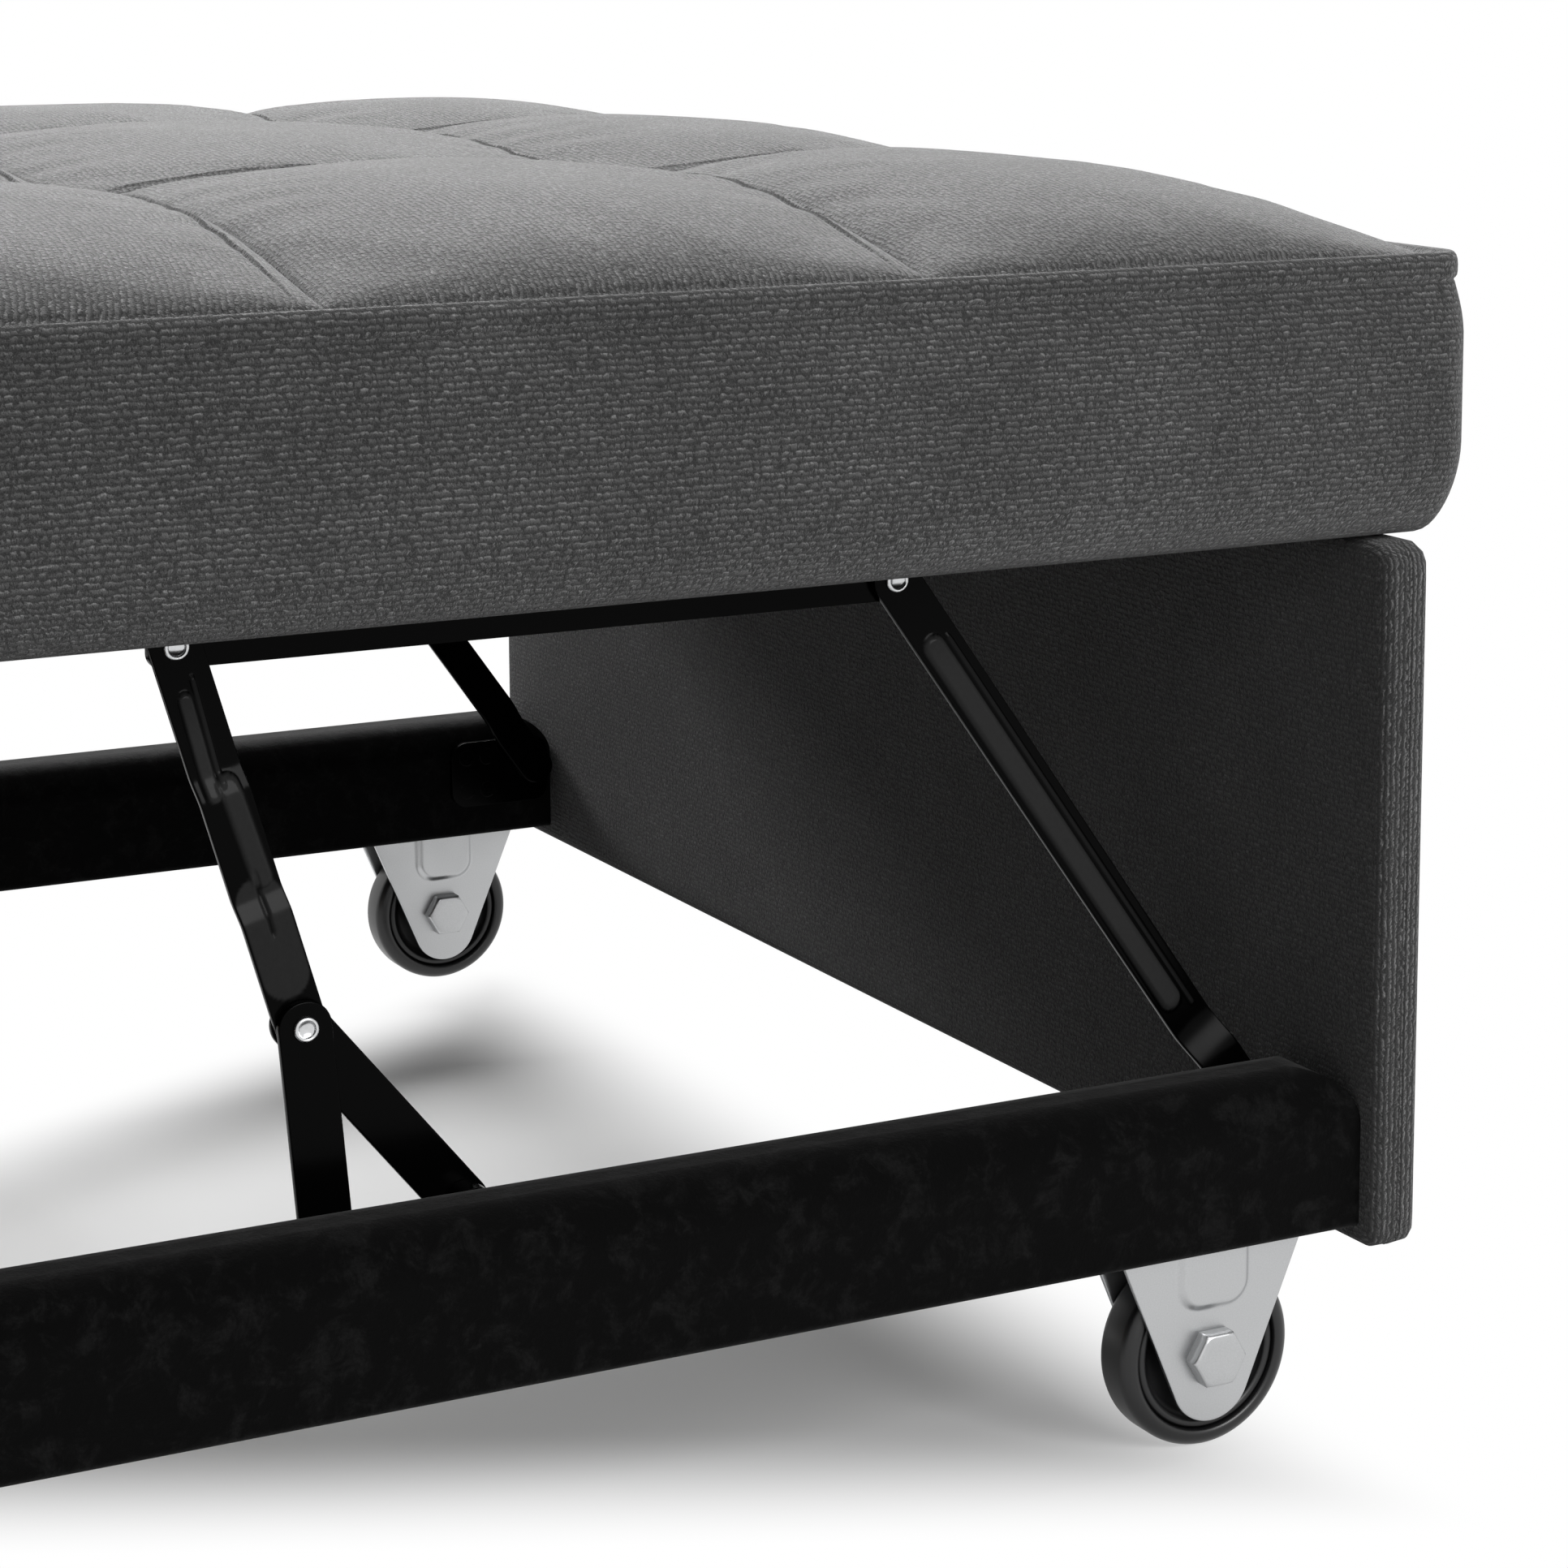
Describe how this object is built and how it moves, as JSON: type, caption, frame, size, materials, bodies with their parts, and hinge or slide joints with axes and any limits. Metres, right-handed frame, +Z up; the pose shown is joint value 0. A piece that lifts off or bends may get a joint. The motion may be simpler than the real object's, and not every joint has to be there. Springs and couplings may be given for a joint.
{
  "type": "chair bed",
  "caption": "Single chair bed with a pull-out carriage on castors whose tufted cushion lifts on folding arms to seat height, and a reclining backrest.",
  "frame": {"origin": "centre of the bed's footprint on the floor, with the carriage drawn out", "axes": "+Z up, -Y towards the front panel and the pull-out end, +X to the sitter's left"},
  "size_m": [1.065, 1.5706, 0.9603],
  "materials": {
    "woven_upholstery": "mid-grey slubby linen-look weave over foam, crowned, sewn in cells",
    "woven_cover": "the same grey weave, stretched over a padded board",
    "black_velvet": "black crushed velvet over timber",
    "plywood": "sawn birch plywood",
    "timber": "planed pine",
    "satin_zinc": "pressed steel, satin zinc plate",
    "bright_zinc": "turned steel, bright zinc plate",
    "wheel_tread": "moulded black tread",
    "wheel_hub": "moulded black hub",
    "roller_nylon": "turned white nylon",
    "foot_plastic": "moulded black plastic",
    "black_steel": "pressed steel, gloss black paint"
  },
  "bodies": {
    "chair": {"right_armrest": "woven_cover", "left_armrest": "woven_cover", "rear_panel": "woven_cover", "seat_front_timber": "timber", "seat_rear_timber": "timber", "seat_side_timbers": "timber", "seat_board": "plywood", "seat_cushion": "woven_upholstery", "right_track": "black_steel", "left_track": "black_steel", "feet": "foot_plastic", "right_hinge_plate": "black_steel", "left_hinge_plate": "black_steel", "hinge_pins": "bright_zinc"},
    "backrest": {"backrest_board": "woven_cover", "backrest_cushion": "woven_upholstery", "right_hinge_arm": "black_steel", "left_hinge_arm": "black_steel"},
    "carriage": {"front_panel": "woven_cover", "panel_screws": "bright_zinc", "right_rail": "black_velvet", "left_rail": "black_velvet", "rear_crossbar": "timber", "right_castor_fork": "satin_zinc", "left_castor_fork": "satin_zinc", "castor_screws": "bright_zinc", "axle_bolts": "bright_zinc", "axle_nuts": "bright_zinc", "right_arm_bracket": "black_steel", "left_arm_bracket": "black_steel", "right_stay_guide": "black_steel", "left_stay_guide": "black_steel", "bracket_screws": "black_steel", "roller_axles": "bright_zinc"},
    "right_castor": {"right_castor_tyre": "wheel_tread", "right_castor_hub": "wheel_hub"},
    "left_castor": {"left_castor_tyre": "wheel_tread", "left_castor_hub": "wheel_hub"},
    "right_roller": {"right_rear_roller": "roller_nylon"},
    "left_roller": {"left_rear_roller": "roller_nylon"},
    "front_arms": {"right_front_arm": "black_steel", "left_front_arm": "black_steel", "front_arm_rivets": "bright_zinc"},
    "lift_frame": {"right_top_bar": "black_steel", "left_top_bar": "black_steel", "extension_board": "plywood", "extension_cushion": "woven_upholstery", "rear_arm_rivets": "bright_zinc", "top_bar_screws": "bright_zinc"},
    "rear_arms": {"right_rear_arm": "black_steel", "left_rear_arm": "black_steel", "knee_rivets": "bright_zinc"},
    "prop_links": {"right_prop_link": "black_steel", "left_prop_link": "black_steel"},
    "stays": {"right_stay": "black_steel", "left_stay": "black_steel"}
  },
  "joints": [
    {"name": "carriage_slide", "type": "slide", "parent": "chair", "child": "carriage", "axis": [0, 1, 0], "range_m": [0, 0.104]},
    {"name": "backrest_hinge", "type": "hinge", "parent": "chair", "child": "backrest", "pos_m": [0, 0.56775, 0.4045], "axis": [-1, 0, 0], "range_deg": [0, 78]},
    {"name": "lift", "type": "hinge", "parent": "carriage", "child": "front_arms", "pos_m": [0, -0.74275, 0.111], "axis": [-1, 0, 0], "range_deg": [0, 47.3]},
    {"name": "lift_level", "type": "hinge", "parent": "front_arms", "child": "lift_frame", "pos_m": [0, -0.59829, 0.31503], "axis": [1, 0, 0], "range_deg": [0, 47.3]},
    {"name": "rear_arm_fold", "type": "hinge", "parent": "lift_frame", "child": "rear_arms", "pos_m": [0, -0.34279, 0.31503], "axis": [-1, 0, 0], "range_deg": [0, 46.39]},
    {"name": "prop_fold", "type": "hinge", "parent": "rear_arms", "child": "prop_links", "pos_m": [0, -0.37879, 0.18953], "axis": [-1, 0, 0], "range_deg": [0, 44.95]},
    {"name": "stay_fold", "type": "hinge", "parent": "rear_arms", "child": "stays", "pos_m": [0, -0.37879, 0.18953], "axis": [-1, 0, 0], "range_deg": [0, 30.55]},
    {"name": "right_castor_spin", "type": "hinge", "parent": "carriage", "child": "right_castor", "pos_m": [-0.356, -0.69975, 0.035], "axis": [1, 0, 0], "continuous": true},
    {"name": "left_castor_spin", "type": "hinge", "parent": "carriage", "child": "left_castor", "pos_m": [0.356, -0.69975, 0.035], "axis": [1, 0, 0], "continuous": true},
    {"name": "right_roller_spin", "type": "hinge", "parent": "carriage", "child": "right_roller", "pos_m": [-0.388, 0.01325, 0.105], "axis": [1, 0, 0], "continuous": true},
    {"name": "left_roller_spin", "type": "hinge", "parent": "carriage", "child": "left_roller", "pos_m": [0.388, 0.01325, 0.105], "axis": [1, 0, 0], "continuous": true}
  ],
  "couplings": [
    {"joint": "lift_level", "follows": "lift", "ratio": 1},
    {"joint": "rear_arm_fold", "follows": "lift", "ratio": 0.98051},
    {"joint": "prop_fold", "follows": "lift", "ratio": 0.95},
    {"joint": "stay_fold", "follows": "lift", "ratio": 0.64573}
  ]
}
